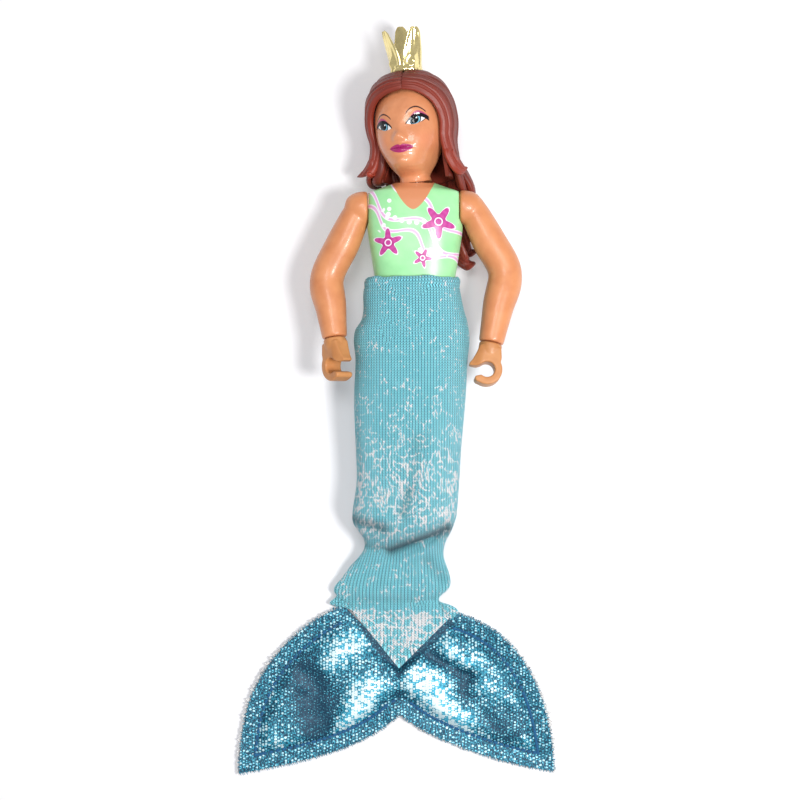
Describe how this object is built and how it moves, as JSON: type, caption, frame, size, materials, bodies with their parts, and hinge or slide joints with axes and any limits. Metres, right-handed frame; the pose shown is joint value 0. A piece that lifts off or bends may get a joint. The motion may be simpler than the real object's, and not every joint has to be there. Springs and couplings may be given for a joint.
{
  "type": "mermaid doll",
  "caption": "Jointed plastic doll in a knitted mermaid tail with a fabric fin, a crown and C-shaped hand grips; lies on its back.",
  "frame": {"origin": "under the middle of the outer box, on the surface that the doll lies on", "axes": "+Y from the fin to the head, +Z out of the doll's front, +X to the doll's left"},
  "size_m": [0.076, 0.178, 0.0225],
  "materials": {
    "skin": "satin moulded plastic",
    "hand": "satin moulded plastic, a little yellower",
    "hair": "satin soft plastic",
    "mint": "gloss moulded plastic with a print",
    "gold": "pale gold plating",
    "pin": "bright steel",
    "knit": "fine ribbed jersey with silver foil specks",
    "lame": "shiny metallic knit",
    "lining": "matt white"
  },
  "bodies": {
    "torso": {"torso_front": "mint", "torso_back": "mint", "pelvis": "mint", "hip_pin": "pin", "tail_waistband": "knit", "tail_upper": "knit"},
    "head": {"head": "skin", "hair": "hair"},
    "crown": {"crown": "gold"},
    "arm_left": {"arm_left": "skin"},
    "hand_left": {"hand_left": "hand"},
    "arm_right": {"arm_right": "skin"},
    "hand_right": {"hand_right": "hand"},
    "thigh_left": {"thigh_left": "skin", "knee_pin_left": "pin", "tail_middle": "knit"},
    "shin_left": {"shin_left": "skin", "tail_lower": "knit"},
    "thigh_right": {"thigh_right": "skin", "knee_pin_right": "pin"},
    "shin_right": {"shin_right": "skin"},
    "fin": {"fin_back": "lame", "fin_lining": "lining", "fin_front": "lame"}
  },
  "joints": [
    {"name": "neck_turn", "type": "hinge", "parent": "torso", "child": "head", "pos_m": [0.0044, 0.05276, 0.01251], "axis": [0, 1, 0], "range_deg": [0, 45]},
    {"name": "crown_lift", "type": "slide", "parent": "head", "child": "crown", "axis": [-0.0814, 0.9962, -0.0312], "range_m": [0, 0.012]},
    {"name": "shoulder_left", "type": "hinge", "parent": "torso", "child": "arm_left", "pos_m": [0.0181, 0.04786, 0.01251], "axis": [-1, 0, 0], "range_deg": [0, 170], "deforming": ["tail_upper"]},
    {"name": "wrist_left", "type": "hinge", "parent": "arm_left", "child": "hand_left", "pos_m": [0.02225, 0.01486, 0.01441], "axis": [0.1985, 0.9668, -0.1611], "continuous": true, "deforming": ["tail_upper"]},
    {"name": "shoulder_right", "type": "hinge", "parent": "torso", "child": "arm_right", "pos_m": [-0.0093, 0.04786, 0.01251], "axis": [-1, 0, 0], "range_deg": [0, 170], "deforming": ["tail_upper"]},
    {"name": "wrist_right", "type": "hinge", "parent": "arm_right", "child": "hand_right", "pos_m": [-0.0145, 0.01606, 0.01421], "axis": [-0.1296, 0.9756, -0.1774], "continuous": true, "deforming": ["tail_upper"]},
    {"name": "hip_left", "type": "hinge", "parent": "torso", "child": "thigh_left", "pos_m": [0.0115, 0.01686, 0.01131], "axis": [-1, 0, 0], "range_deg": [0, 85], "deforming": ["tail_upper"]},
    {"name": "hip_right", "type": "hinge", "parent": "torso", "child": "thigh_right", "pos_m": [-0.0027, 0.01686, 0.01131], "axis": [-1, 0, 0], "range_deg": [0, 85]},
    {"name": "knee_left", "type": "hinge", "parent": "thigh_left", "child": "shin_left", "pos_m": [0.008, -0.00714, 0.00999], "axis": [1, 0, 0], "range_deg": [0, 60], "deforming": ["tail_middle"]},
    {"name": "knee_right", "type": "hinge", "parent": "thigh_right", "child": "shin_right", "pos_m": [-0.0016, -0.00714, 0.00999], "axis": [1, 0, 0], "range_deg": [0, 60]},
    {"name": "fin_flap", "type": "hinge", "parent": "shin_left", "child": "fin", "pos_m": [0, -0.049, 0.00125], "axis": [-1, 0, 0], "range_deg": [-30, 60], "deforming": ["tail_lower"]}
  ],
  "couplings": [
    {"joint": "hip_right", "follows": "hip_left", "ratio": 1},
    {"joint": "knee_right", "follows": "knee_left", "ratio": 1}
  ]
}
